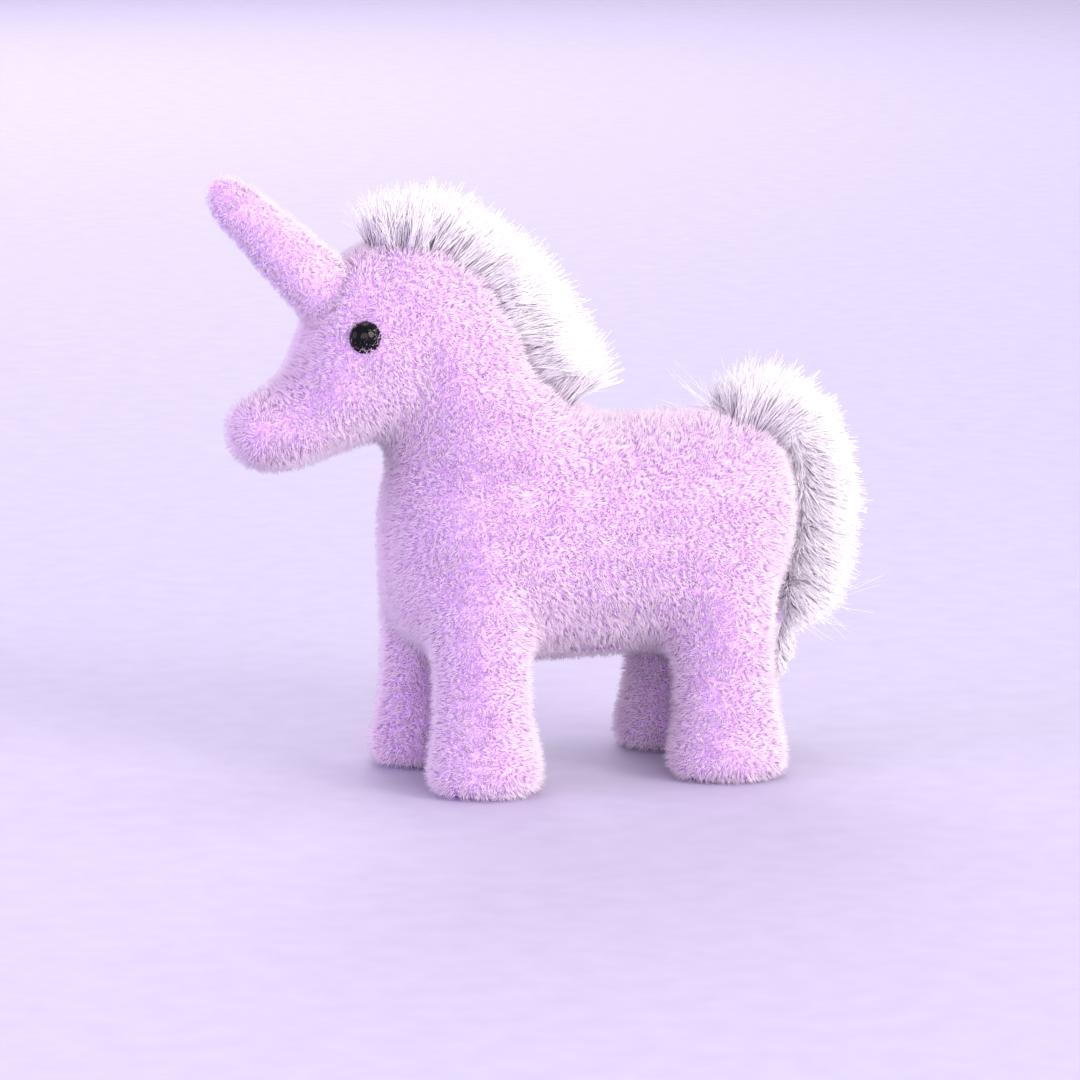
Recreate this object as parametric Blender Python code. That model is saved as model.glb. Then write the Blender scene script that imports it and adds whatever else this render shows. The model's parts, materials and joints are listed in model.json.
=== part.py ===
"""Miniature plush unicorn: a sewn and stuffed toy that stands on four short legs.

Head towards -X, +Z up, left side towards -Y. Metres. The origin is on the standing
surface, under the middle of the toy's outline. Sizes are taken over the pile.
"""

from math import cos, pi, radians, sin, tan

import bmesh
import bpy
from mathutils import Matrix, Vector

MM = 0.001

# Torso
TORSO_LENGTH = 33.6 * MM
TORSO_HEIGHT = 19.7 * MM
TORSO_WIDTH = 17.4 * MM
BELLY_HEIGHT = 9.3 * MM

# Neck and head
NECK_HEIGHT = 15.2 * MM
NECK_LENGTH = 15.2 * MM
NECK_WIDTH = 12.6 * MM
NECK_CUT_RISE = radians(32)
NECK_CUT_DROP = 1.8 * MM
NECK_PIVOT_REACH = 7.2 * MM
HEAD_LENGTH = 15.1 * MM
HEAD_HEIGHT = 17.1 * MM
HEAD_WIDTH = 12.0 * MM
HEAD_OVERHANG = 2.3 * MM
JAW_DROP = 3.3 * MM
CHEST_BULGE = 0.2 * MM

# Legs
FEET_APART_LENGTHWISE = 20.8 * MM
FEET_APART_SIDEWAYS = 13.2 * MM
HIPS_APART_SIDEWAYS = 10.8 * MM
HIP_HEIGHT = 12.0 * MM
LEG_LENGTHWISE = 8.3 * MM
LEG_SIDEWAYS = 7.0 * MM
FOOT_LENGTHWISE = 9.3 * MM
FOOT_SIDEWAYS = 8.6 * MM
FOOT_WIDEST_HEIGHT = 1.8 * MM
ANKLE_HEIGHT = 5.0 * MM
SOLE_THICKNESS = 1.0 * MM
SOLE_PROUD = 0.2 * MM
SOLE_SHARE = 0.90  # width of the foot where it meets the ground
FOOT_TOP_SHARE = 0.97  # width of the foot half way up to the ankle
ANKLE_SPREAD = 0.3  # how much of the foot's extra width is left at the ankle
LEG_SWING = radians(10)

# Horn
HORN_LENGTH = 11.2 * MM
HORN_BASE_RADIUS = 2.8 * MM
HORN_TIP_RADIUS = 1.8 * MM
HORN_ROOT_DEPTH = 3.0 * MM
HORN_RISE = radians(44)
HORN_FLEX = radians(8)
HORN_FORWARD = 0.48  # of the head's length, from its back
HORN_UP = 0.82  # of the head's height

# Eyes
EYE_RADIUS = 1.3 * MM
EYE_SINK = 0.6 * MM
EYE_SHANK_RADIUS = 0.45 * MM
EYE_SHANK_LENGTH = 2.4 * MM
EYE_THREAD_RADIUS = 0.2 * MM
EYE_FORWARD = 0.37  # of the head's length, from its back
EYE_UP = 0.636  # of the head's height

# Mane and tail
MANE_PILE = 4.0 * MM
MANE_WIDTH = 5.6 * MM
MANE_END_SHARE = 0.72  # of the full pile, at both ends of the mane
TAIL_LENGTH = 19.3 * MM
TAIL_DEPTH = 6.0 * MM
TAIL_WIDTH = 5.8 * MM
TAIL_TUFT_HEIGHT = 5.5 * MM
TAIL_TUFT_LENGTH = 9.0 * MM
TAIL_SWING_DROP = 4.6 * MM
TAIL_TUFT_LEAD = 0.64  # share of the tuft that lies in front of the rump's end

# Sewing
COVER_THICKNESS = 1.2 * MM
CLEARANCE = 0.3 * MM
BELLY_GUSSET_WIDTH = 8.0 * MM
BELLY_GUSSET_RISE = 4.6 * MM
HEAD_GUSSET_WIDTH = 5.0 * MM
CLOSING_SEAM_LENGTH = 5.0 * MM
CLOSING_SEAM_WIDTH = 1.1 * MM
CLOSING_THREAD_RADIUS = 0.15 * MM
CLOSING_STITCHES = 8
HEAD_GUSSET_NOSE = 0.21  # of the head's height: where the strip ends over the muzzle
HEAD_GUSSET_BROW = 0.47  # of the head's height: where the strip ends at the brow
HEAD_GUSSET_STEP = 0.5  # of the head's length: where the strip steps down to the muzzle

TORSO_SQUARENESS = 2.3  # 2 is a true oval, more is squarer
HAIR_SQUARENESS = 2.4
SIDES = 16
FAR = 100 * MM

# Places that several pieces share
CHEST_X = -TORSO_LENGTH / 2
RUMP_X = TORSO_LENGTH / 2
FEET_MIDDLE_X = -0.6 * MM
BACK_HEIGHT = BELLY_HEIGHT + TORSO_HEIGHT
NECK_FRONT_X = CHEST_X - CHEST_BULGE
THROAT = Vector((NECK_FRONT_X, 0, BACK_HEIGHT - NECK_CUT_DROP))
NECK_AXIS = Vector((-sin(NECK_CUT_RISE), 0, cos(NECK_CUT_RISE)))
NECK_PIVOT = THROAT + NECK_PIVOT_REACH * Vector((cos(NECK_CUT_RISE), 0, sin(NECK_CUT_RISE)))
HEAD_BACK_X = NECK_FRONT_X + HEAD_OVERHANG
JAW_HEIGHT = BACK_HEIGHT - JAW_DROP
HORN_AXIS = Vector((-cos(HORN_RISE), 0, sin(HORN_RISE)))
HORN_PIVOT = Vector(
    (HEAD_BACK_X - HORN_FORWARD * HEAD_LENGTH, 0, JAW_HEIGHT + HORN_UP * HEAD_HEIGHT)
)
EYE_X = HEAD_BACK_X - EYE_FORWARD * HEAD_LENGTH
EYE_HEIGHT = JAW_HEIGHT + EYE_UP * HEAD_HEIGHT
EYE_Y = HEAD_WIDTH / 2 - EYE_SINK
TAIL_PIVOT = Vector((RUMP_X + CLEARANCE + TAIL_DEPTH / 2, 0, BACK_HEIGHT - TAIL_SWING_DROP))

# How each form swells and narrows. Torso: (way from chest to rump, lowest, highest) as shares
# of its length and height, then its width as a share of the full width.
TORSO_FORM = (
    (0.00, 0.29, 0.80, 0.30),
    (0.025, 0.17, 0.91, 0.58),
    (0.08, 0.06, 0.985, 0.84),
    (0.18, 0.01, 1.02, 0.95),
    (0.35, 0.00, 1.02, 0.98),
    (0.52, 0.00, 1.00, 0.97),
    (0.75, 0.02, 1.00, 1.00),
    (0.87, 0.08, 0.985, 0.93),
    (0.95, 0.21, 0.93, 0.74),
    (0.985, 0.36, 0.84, 0.50),
    (1.00, 0.46, 0.74, 0.26),
)
# Neck: front point, then back point, as shares of the neck's length and of its height above
# the back, then its width as a share of the neck's.
NECK_FORM = (
    (0.075, -0.57, 1.39, -0.44, 1.20),
    (0.00, -0.19, 1.28, -0.09, 1.14),
    (-0.01, 0.00, 0.99, 0.125, 1.05),
    (-0.06, 0.19, 0.80, 0.315, 1.00),
    (-0.14, 0.38, 0.725, 0.52, 0.97),
    (-0.21, 0.57, 0.625, 0.70, 0.92),
    (-0.25, 0.76, 0.49, 0.85, 0.81),
    (-0.21, 0.885, 0.325, 0.96, 0.62),
    (-0.10, 0.96, 0.19, 1.00, 0.35),
)
# Ends of the line that the mane follows, in the neck's shares.
CREST_START = (-0.20, 0.935)
CREST_TOP = (0.03, 1.00)
CREST_END = (1.20, 0.02)
# Head: way forward from the back of the head, lowest, highest, width, as shares.
HEAD_FORM = (
    (0.00, 0.24, 0.98, 0.95),
    (0.20, 0.12, 1.055, 1.03),
    (0.38, 0.063, 1.005, 1.00),
    (0.50, 0.03, 0.85, 0.95),
    (0.58, 0.01, 0.62, 0.86),
    (0.66, 0.00, 0.48, 0.77),
    (0.76, 0.00, 0.405, 0.70),
    (0.87, 0.02, 0.36, 0.63),
    (0.95, 0.055, 0.325, 0.52),
    (1.00, 0.125, 0.265, 0.26),
)
# Tail's hanging lock: way down from its top, nearest the rump and furthest as shares of its
# depth, width as a share.
TAIL_FORM = (
    (0.35, 0.00, 0.98, 1.00),
    (0.55, 0.00, 1.00, 1.00),
    (0.75, 0.00, 0.95, 0.95),
    (0.90, 0.03, 0.75, 0.78),
    (1.00, 0.08, 0.45, 0.45),
)
# Tail's top tuft: way back along it, then height as a share, then width as a share.
TUFT_FORM = (
    (0.00, 0.30, 0.50),
    (0.20, 0.75, 0.85),
    (0.45, 1.00, 1.00),
    (0.70, 0.72, 0.95),
    (0.90, 0.35, 0.75),
    (1.00, 0.12, 0.45),
)

COLOURS = {
    "plush": (0.80, 0.56, 0.86),
    "gusset": (0.72, 0.48, 0.82),
    "sole": (0.62, 0.40, 0.74),
    "stuffing": (0.92, 0.91, 0.88),
    "hair": (0.93, 0.90, 0.95),
    "glass": (0.01, 0.01, 0.012),
    "thread": (0.45, 0.25, 0.55),
}
ROUGHNESS = {"glass": 0.08}
CLOTH_ROUGHNESS = 0.9


# ---- scene, materials and modelling helpers ------------------------------------------
def clear_scene():
    for obj in list(bpy.data.objects):
        bpy.data.objects.remove(obj)


def new_collection(name):
    collection = bpy.data.collections.new(name)
    bpy.context.scene.collection.children.link(collection)
    return collection


def material(node, finish):
    made = bpy.data.materials.new(node)
    made.use_nodes = True
    shader = made.node_tree.nodes["Principled BSDF"]
    shader.inputs["Base Color"].default_value = (*COLOURS[finish], 1)
    shader.inputs["Roughness"].default_value = ROUGHNESS.get(finish, CLOTH_ROUGHNESS)
    return made


def to_object(bm, name):
    """A closed bmesh becomes an object among the cutters, faces outward."""
    bmesh.ops.recalc_face_normals(bm, faces=bm.faces)
    mesh = bpy.data.meshes.new(name)
    bm.to_mesh(mesh)
    bm.free()
    obj = bpy.data.objects.new(name, mesh)
    obj.hide_render = True
    obj.display_type = "WIRE"
    CUTTERS.objects.link(obj)
    return obj


def loft(name, rings, squareness=2.0, sides=SIDES):
    """A closed skin through oval rings, each given as (centre, half axis, other half axis)."""
    bm = bmesh.new()
    loops = []
    for centre, along, across in rings:
        loop = []
        for side in range(sides):
            turn = 2 * pi * (side + 0.5) / sides
            a, b = cos(turn), sin(turn)
            a = abs(a) ** (2 / squareness) * (1 if a > 0 else -1)
            b = abs(b) ** (2 / squareness) * (1 if b > 0 else -1)
            loop.append(bm.verts.new(centre + along * a + across * b))
        loops.append(loop)
    for near, far in zip(loops, loops[1:]):
        for side in range(sides):
            after = (side + 1) % sides
            bm.faces.new((near[side], near[after], far[after], far[side]))
    bm.faces.new(loops[0])
    bm.faces.new(loops[-1])
    bmesh.ops.triangulate(bm, faces=bm.faces)
    return to_object(bm, name)


def grown(obj, amount):
    """Moves every point of a closed form out along its normal, or in where amount is negative."""
    bm = bmesh.new()
    bm.from_mesh(obj.data)
    bm.normal_update()
    steps = [(vert, vert.normal * amount * vert.calc_shell_factor()) for vert in bm.verts]
    for vert, step in steps:
        vert.co += step
    bm.to_mesh(obj.data)
    bm.free()
    return obj


def box(name, low, high):
    bm = bmesh.new()
    bmesh.ops.create_cube(bm, size=1)
    low, high = Vector(low), Vector(high)
    bmesh.ops.scale(bm, vec=high - low, verts=bm.verts)
    bmesh.ops.translate(bm, vec=(high + low) / 2, verts=bm.verts)
    return to_object(bm, name)


def rod(name, start, end, radius, sides=12):
    """A round bar from start to end."""
    start, end = Vector(start), Vector(end)
    length = (end - start).length
    turn = (end - start).to_track_quat("Z", "Y").to_matrix().to_4x4()
    bm = bmesh.new()
    bmesh.ops.create_cone(
        bm, cap_ends=True, segments=sides, radius1=radius, radius2=radius, depth=length,
        matrix=Matrix.Translation((start + end) / 2) @ turn,
    )
    return to_object(bm, name)


def copy_of(obj, name):
    twin = obj.copy()
    twin.data = obj.data.copy()
    twin.name = name
    CUTTERS.objects.link(twin)
    return twin


def carved(name, base, *steps):
    """A copy of base with each (operation, tool) carried out in turn, as a plain mesh."""
    obj = copy_of(base, name)
    for operation, tool in steps:
        cut = obj.modifiers.new(tool.name, "BOOLEAN")
        cut.operation = operation
        cut.solver = "EXACT"
        cut.object = tool
        bpy.context.view_layer.update()
        graph = bpy.context.evaluated_depsgraph_get()
        mesh = bpy.data.meshes.new_from_object(obj.evaluated_get(graph))
        obj.modifiers.clear()
        obj.data = mesh
    return obj


def piece(obj, finish, parent):
    """A finished sub-part: named, coloured, and carried by its parent empty."""
    CUTTERS.objects.unlink(obj)
    PARTS.objects.link(obj)
    obj.hide_render = False
    obj.display_type = "TEXTURED"
    obj.data.materials.clear()
    obj.data.materials.append(material(obj.name, finish))
    obj.data.shade_smooth()
    obj.data.set_sharp_from_angle(angle=radians(40))
    obj.parent = parent
    obj.matrix_parent_inverse = parent.matrix_world.inverted()
    return obj


def pivot(name, place, axis, parent=None):
    """An empty on a joint, with its Z along the joint's axis."""
    empty = bpy.data.objects.new(name, None)
    empty.empty_display_size = 2 * MM
    PARTS.objects.link(empty)
    turn = Vector(axis).to_track_quat("Z", "Y").to_matrix().to_4x4()
    empty.matrix_world = Matrix.Translation(place) @ turn
    bpy.context.view_layer.update()
    if parent:
        empty.parent = parent
        empty.matrix_parent_inverse = parent.matrix_world.inverted()
        bpy.context.view_layer.update()
    return empty


# ---- forms ---------------------------------------------------------------------------
def torso_form(name):
    rings = []
    for way, low, high, wide in TORSO_FORM:
        middle = BELLY_HEIGHT + TORSO_HEIGHT * (low + high) / 2
        centre = Vector((CHEST_X + TORSO_LENGTH * way, 0, middle))
        up = Vector((0, 0, TORSO_HEIGHT * (high - low) / 2))
        rings.append((centre, up, Vector((0, TORSO_WIDTH / 2 * wide, 0))))
    return loft(name, rings, squareness=TORSO_SQUARENESS)


def neck_point(along, height):
    return Vector((NECK_FRONT_X + NECK_LENGTH * along, 0, BACK_HEIGHT + NECK_HEIGHT * height))


def neck_form(name):
    rings = []
    for front_x, front_z, back_x, back_z, wide in NECK_FORM:
        front, back = neck_point(front_x, front_z), neck_point(back_x, back_z)
        rings.append(((front + back) / 2, (back - front) / 2, Vector((0, NECK_WIDTH / 2 * wide, 0))))
    return loft(name, rings)


def head_form(name):
    rings = []
    for way, low, high, wide in HEAD_FORM:
        middle = JAW_HEIGHT + HEAD_HEIGHT * (low + high) / 2
        centre = Vector((HEAD_BACK_X - HEAD_LENGTH * way, 0, middle))
        up = Vector((0, 0, HEAD_HEIGHT * (high - low) / 2))
        rings.append((centre, up, Vector((0, HEAD_WIDTH / 2 * wide, 0))))
    return loft(name, rings)


def body_form(name, amount):
    """Torso, neck and head as one form, moved out or in by amount."""
    torso = grown(torso_form(name + "_torso"), amount)
    neck = grown(neck_form(name + "_neck"), amount)
    head = grown(head_form(name + "_head"), amount)
    return carved(name, torso, ("UNION", neck), ("UNION", head))


def leg_form(name, end, side, amount=0.0, swing=0.0):
    """One leg, foot down, with a hip that is round about the hip's sideways axis.

    end is -1 at the front and 1 at the back; side is -1 on the left and 1 on the right.
    """
    x = FEET_MIDDLE_X + end * FEET_APART_LENGTHWISE / 2
    foot_y, hip_y = FEET_APART_SIDEWAYS / 2, HIPS_APART_SIDEWAYS / 2
    long, wide = LEG_LENGTHWISE / 2, LEG_SIDEWAYS / 2
    foot_long, foot_wide = FOOT_LENGTHWISE / 2, FOOT_SIDEWAYS / 2
    foot_top = (FOOT_WIDEST_HEIGHT + ANKLE_HEIGHT) / 2
    levels = (
        (SOLE_PROUD - FAR, SOLE_SHARE * foot_long, SOLE_SHARE * foot_wide),
        (SOLE_PROUD, SOLE_SHARE * foot_long, SOLE_SHARE * foot_wide),
        (FOOT_WIDEST_HEIGHT, foot_long, foot_wide),
        (foot_top, FOOT_TOP_SHARE * foot_long, FOOT_TOP_SHARE * foot_wide),
        (ANKLE_HEIGHT, long, wide + ANKLE_SPREAD * (foot_wide - wide)),
        ((ANKLE_HEIGHT + HIP_HEIGHT) / 2, long, wide),
    )
    rings = []
    for z, half_long, half_wide in levels[0 if amount else 1:]:
        share = min(1.0, max(0.0, (z - FOOT_WIDEST_HEIGHT) / (HIP_HEIGHT - FOOT_WIDEST_HEIGHT)))
        y = foot_y + (hip_y - foot_y) * share
        reach = half_long + amount + (HIP_HEIGHT - max(z, 0.0)) * tan(swing)
        rings.append((Vector((x, side * y, z)), Vector((reach, 0, 0)), Vector((0, half_wide + amount, 0))))
    for rise in (0, 25, 48, 68, 82):
        lift, spread = sin(radians(rise)), cos(radians(rise))
        centre = Vector((x, side * hip_y, HIP_HEIGHT + (long + amount) * lift))
        along = Vector(((long + amount) * spread, 0, 0))
        rings.append((centre, along, Vector((0, (wide + amount) * spread, 0))))
    return loft(name, rings, sides=12)


def horn_form(name, amount=0.0, root_depth=HORN_ROOT_DEPTH):
    """The horn with its root carried on into the head."""
    across = HORN_AXIS.cross(Vector((0, 1, 0)))
    slope = (HORN_TIP_RADIUS - HORN_BASE_RADIUS) / HORN_LENGTH
    rings = []
    for way in (-root_depth, HORN_LENGTH / 3, 2 * HORN_LENGTH / 3, HORN_LENGTH):
        radius = HORN_BASE_RADIUS + slope * way + amount
        rings.append((HORN_PIVOT + HORN_AXIS * way, across * radius, Vector((0, radius, 0))))
    for rise in (25, 50, 75):
        centre = HORN_PIVOT + HORN_AXIS * (HORN_LENGTH + (HORN_TIP_RADIUS + amount) * sin(radians(rise)))
        radius = (HORN_TIP_RADIUS + amount) * cos(radians(rise))
        rings.append((centre, across * radius, Vector((0, radius, 0))))
    return loft(name, rings, sides=12)


def crest_points():
    """The line along the top of the neck, from behind the horn to the withers."""
    points = [neck_point(*CREST_START), neck_point(*CREST_TOP)]
    points += [neck_point(along, height) for _, _, along, height, _ in reversed(NECK_FORM[2:-2])]
    points.append(neck_point(*CREST_END))
    return points


def mane_form(name):
    """A ridge of long pile on the crest, its foot sunk in the neck."""
    points = crest_points()
    root = MANE_PILE / 4
    rings = []
    for index, point in enumerate(points):
        before, after = points[max(index - 1, 0)], points[min(index + 1, len(points) - 1)]
        out = (after - before).normalized().cross(Vector((0, 1, 0)))
        full = MANE_END_SHARE if index in (0, len(points) - 1) else 1.0
        rise = (MANE_PILE * full + root) / 2
        rings.append((point + out * (rise - root), out * rise, Vector((0, MANE_WIDTH / 2 * full, 0))))
    return loft(name, rings, squareness=HAIR_SQUARENESS, sides=12)


def tail_lock_form(name):
    """The hanging part of the tail. Its top is round about the lengthwise axis it swings on."""
    half = TAIL_WIDTH / 2
    front = RUMP_X + CLEARANCE
    rings = []
    for rise, near, far in ((75, 0.15, 0.60), (52, 0.08, 0.72), (28, 0.03, 0.84), (0, 0.0, 0.92)):
        z = TAIL_PIVOT.z + half * sin(radians(rise))
        centre = Vector((front + TAIL_DEPTH * (near + far) / 2, 0, z))
        along = Vector((TAIL_DEPTH * (far - near) / 2, 0, 0))
        rings.append((centre, along, Vector((0, half * cos(radians(rise)), 0))))
    for way, near, far, wide in TAIL_FORM:
        centre = Vector((front + TAIL_DEPTH * (near + far) / 2, 0, TAIL_PIVOT.z + half - TAIL_LENGTH * way))
        along = Vector((TAIL_DEPTH * (far - near) / 2, 0, 0))
        rings.append((centre, along, Vector((0, half * wide, 0))))
    return loft(name, rings, sides=12)


def tail_tuft_form(name):
    """The short tuft that stands up where the tail is sewn on."""
    floor = TAIL_PIVOT.z + TAIL_WIDTH / 2 + CLEARANCE
    front = RUMP_X - TAIL_TUFT_LEAD * TAIL_TUFT_LENGTH
    rings = []
    for way, tall, wide in TUFT_FORM:
        rise = TAIL_TUFT_HEIGHT * tall / 2
        centre = Vector((front + TAIL_TUFT_LENGTH * way, 0, floor + rise))
        rings.append((centre, Vector((0, 0, rise)), Vector((0, TAIL_WIDTH / 2 * wide, 0))))
    return loft(name, rings, squareness=HAIR_SQUARENESS, sides=12)


# ---- regions that the covers are cut to ----------------------------------------------
def neck_side(name, above):
    """All space on the head's side of the neck seam, or on the torso's side."""
    bm = bmesh.new()
    bmesh.ops.create_cube(bm, size=FAR)
    shift = (FAR + CLEARANCE) / 2 * (1 if above else -1)
    turn = NECK_AXIS.to_track_quat("Z", "Y").to_matrix().to_4x4()
    matrix = Matrix.Translation(NECK_PIVOT + NECK_AXIS * shift) @ turn
    bmesh.ops.transform(bm, matrix=matrix, verts=bm.verts)
    return to_object(bm, name)


def half_space(name, side):
    near = side * CLEARANCE / 2
    far = side * FAR
    return box(name, (-FAR, min(near, far), -FAR), (FAR, max(near, far), FAR))


def belly_strip(name, extra):
    half = BELLY_GUSSET_WIDTH / 2 + extra
    return box(name, (-FAR, -half, -FAR), (FAR, half, BELLY_HEIGHT + BELLY_GUSSET_RISE + extra))


def head_strip(name, extra):
    """The middle strip over the nose and the brow, down to the neck seam."""
    half = HEAD_GUSSET_WIDTH / 2 + extra
    nose = JAW_HEIGHT + HEAD_GUSSET_NOSE * HEAD_HEIGHT - extra
    brow = JAW_HEIGHT + HEAD_GUSSET_BROW * HEAD_HEIGHT - extra
    brow_x = HEAD_BACK_X - HEAD_GUSSET_STEP * HEAD_LENGTH + extra
    over_nose = box(name + "_nose", (-FAR, -half, nose), (brow_x, half, FAR))
    over_brow = box(name + "_brow", (-FAR, -half, brow), (FAR, half, FAR))
    return carved(name, over_nose, ("UNION", over_brow))


def closing_gap(name):
    """The wider stretch of belly seam that is stitched shut by hand after stuffing."""
    outer = -BELLY_GUSSET_WIDTH / 2 - CLEARANCE
    half = CLOSING_SEAM_LENGTH / 2
    low = (FEET_MIDDLE_X - half, outer, -FAR)
    return box(name, low, (FEET_MIDDLE_X + half, outer + CLOSING_SEAM_WIDTH, FAR))


# ---- sub-parts -----------------------------------------------------------------------
def add_covers(root, head, forms, sockets):
    shell = carved("cover_shell", forms["outer"], ("DIFFERENCE", forms["inner"]))
    below = neck_side("torso_region", False)
    above = neck_side("head_region", True)
    belly = belly_strip("belly_region", 0.0)
    brow = head_strip("brow_region", 0.0)
    cut_sockets = [("DIFFERENCE", socket) for socket in sockets]
    bore_radius = EYE_SHANK_RADIUS + CLEARANCE
    bore = rod("thread_bore", (EYE_X, -FAR, EYE_HEIGHT), (EYE_X, FAR, EYE_HEIGHT), bore_radius)
    eye_cuts = [("DIFFERENCE", bore)] + [("DIFFERENCE", eye_seat(side)) for side in (-1, 1)]
    whole_torso = carved("whole_torso", shell, ("INTERSECT", below))
    torso_shell = carved("torso_shell", whole_torso, *cut_sockets)
    head_shell = carved("head_shell", shell, ("INTERSECT", above), *eye_cuts)
    beside_belly = carved("beside_belly", torso_shell, ("DIFFERENCE", belly_strip("belly_gap", CLEARANCE)))
    beside_brow = carved("beside_brow", head_shell, ("DIFFERENCE", head_strip("brow_gap", CLEARANCE)))
    for side, word in ((-1, "left"), (1, "right")):
        half = half_space(word + "_half", side)
        piece(carved(word + "_body_cover", beside_belly, ("INTERSECT", half)), "plush", root)
        piece(carved(word + "_head_cover", beside_brow, ("INTERSECT", half)), "plush", head)
    closing = closing_gap("closing_gap")
    gusset = carved("belly_gusset", whole_torso, ("INTERSECT", belly), *cut_sockets, ("DIFFERENCE", closing))
    piece(gusset, "gusset", root)
    piece(carved("head_gusset", head_shell, ("INTERSECT", brow)), "gusset", head)
    filling = forms["filling"]
    piece(carved("body_stuffing", filling, ("INTERSECT", below), *cut_sockets), "stuffing", root)
    piece(carved("head_stuffing", filling, ("INTERSECT", above), *eye_cuts), "stuffing", head)


def eye_seat(side):
    """The place in the cover where an eye sits."""
    deep = side * (EYE_Y - EYE_RADIUS / 2 - CLEARANCE)
    return rod(
        "eye_seat", (EYE_X, deep, EYE_HEIGHT), (EYE_X, side * FAR, EYE_HEIGHT), EYE_RADIUS + CLEARANCE, 16
    )


def add_eyes(head):
    """Glass domes on a shank, held by one thread that runs through the head."""
    back = EYE_Y - EYE_RADIUS / 2
    for side, word in ((-1, "left"), (1, "right")):
        dome = bmesh.new()
        bmesh.ops.create_uvsphere(dome, u_segments=16, v_segments=10, radius=EYE_RADIUS)
        bmesh.ops.translate(dome, vec=(EYE_X, side * EYE_Y, EYE_HEIGHT), verts=dome.verts)
        ball = to_object(dome, word + "_eye_ball")
        near, far = sorted((side * back, side * FAR))
        front = box(word + "_eye_front", (-FAR, near, -FAR), (FAR, far, FAR))
        inner = back - EYE_SHANK_LENGTH
        shank = rod(
            word + "_eye_shank",
            (EYE_X, side * (back + EYE_SHANK_RADIUS), EYE_HEIGHT),
            (EYE_X, side * inner, EYE_HEIGHT),
            EYE_SHANK_RADIUS,
            10,
        )
        eye = carved(word + "_eye", ball, ("INTERSECT", front), ("UNION", shank))
        piece(eye, "glass", head)
    end = back - EYE_SHANK_LENGTH - CLEARANCE
    thread = rod("eye_thread", (EYE_X, -end, EYE_HEIGHT), (EYE_X, end, EYE_HEIGHT), EYE_THREAD_RADIUS, 8)
    piece(thread, "thread", head)


def add_legs(hips):
    for (end, side, word), hip in hips.items():
        outer = leg_form(word + "_leg_form", end, side)
        cavity = leg_form(word + "_leg_cavity", end, side, amount=-COVER_THICKNESS)
        piece(carved(word + "_leg_cover", outer, ("DIFFERENCE", cavity)), "plush", hip)
        core = leg_form(word + "_leg_core", end, side, amount=-COVER_THICKNESS - CLEARANCE)
        floor = SOLE_THICKNESS + CLEARANCE
        above_sole = box(word + "_above_sole", (-FAR, -FAR, floor), (FAR, FAR, FAR))
        at_sole = box(word + "_at_sole", (-FAR, -FAR, 0), (FAR, FAR, SOLE_THICKNESS))
        piece(carved(word + "_leg_stuffing", core, ("INTERSECT", above_sole)), "stuffing", hip)
        piece(carved(word + "_sole", core, ("INTERSECT", at_sole)), "sole", hip)


def add_horn(horn, clearance_form):
    """The horn stands on the brow. Its foot is relieved for the way that it leans."""
    reliefs = []
    for turn in (-HORN_FLEX, 0, HORN_FLEX):
        relief = copy_of(clearance_form, "horn_relief")
        spin = Matrix.Rotation(turn, 4, Vector((0, 1, 0)))
        place = Matrix.Translation(HORN_PIVOT)
        relief.data.transform(place @ spin @ place.inverted())
        reliefs.append(("DIFFERENCE", relief))
    outer = horn_form("horn_outer")
    cavity = horn_form("horn_cavity", -COVER_THICKNESS, root_depth=2 * HORN_ROOT_DEPTH)
    cover = carved("horn_cover", outer, ("DIFFERENCE", cavity), *reliefs)
    piece(cover, "plush", horn)
    core = horn_form("horn_core", -COVER_THICKNESS - CLEARANCE)
    piece(carved("horn_stuffing", core, *reliefs), "stuffing", horn)


def add_mane(root, head, clearance_form):
    ridge = carved("mane_ridge", mane_form("mane_form"), ("DIFFERENCE", clearance_form))
    neck_part = carved("neck_mane", ridge, ("INTERSECT", neck_side("mane_below", False)))
    head_part = carved("head_mane", ridge, ("INTERSECT", neck_side("mane_above", True)))
    piece(neck_part, "hair", root)
    piece(head_part, "hair", head)


def add_tail(root, tail, clearance_form):
    tuft = carved("tail_tuft", tail_tuft_form("tuft_form"), ("DIFFERENCE", clearance_form))
    piece(tuft, "hair", root)
    piece(copy_of(tail_lock_form("lock_form"), "tail_lock"), "hair", tail)


def add_closing_stitches(root):
    """Hand stitches laced across the stretch of belly seam that is closed last."""
    outer = -BELLY_GUSSET_WIDTH / 2 + CLOSING_THREAD_RADIUS
    inner = outer + CLOSING_SEAM_WIDTH - 2 * CLEARANCE - 2 * CLOSING_THREAD_RADIUS
    step = (CLOSING_SEAM_LENGTH - 2 * CLEARANCE - 2 * CLOSING_THREAD_RADIUS) / CLOSING_STITCHES
    start = FEET_MIDDLE_X - step * CLOSING_STITCHES / 2
    height = BELLY_HEIGHT + COVER_THICKNESS
    curve = bpy.data.curves.new("closing_stitches", "CURVE")
    curve.dimensions = "3D"
    curve.bevel_depth = CLOSING_THREAD_RADIUS
    curve.bevel_resolution = 1
    curve.use_fill_caps = True
    line = curve.splines.new("POLY")
    line.points.add(CLOSING_STITCHES)
    for stitch in range(CLOSING_STITCHES + 1):
        y = inner if stitch % 2 else outer
        line.points[stitch].co = (start + step * stitch, y, height, 1)
    drawn = bpy.data.objects.new("closing_line", curve)
    CUTTERS.objects.link(drawn)
    drawn.hide_render = True
    bpy.context.view_layer.update()
    graph = bpy.context.evaluated_depsgraph_get()
    mesh = bpy.data.meshes.new_from_object(drawn.evaluated_get(graph))
    bm = bmesh.new()
    bm.from_mesh(mesh)
    bmesh.ops.remove_doubles(bm, verts=bm.verts, dist=0.001 * MM)
    bpy.data.objects.remove(drawn)
    piece(to_object(bm, "closing_stitches"), "thread", root)


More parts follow.
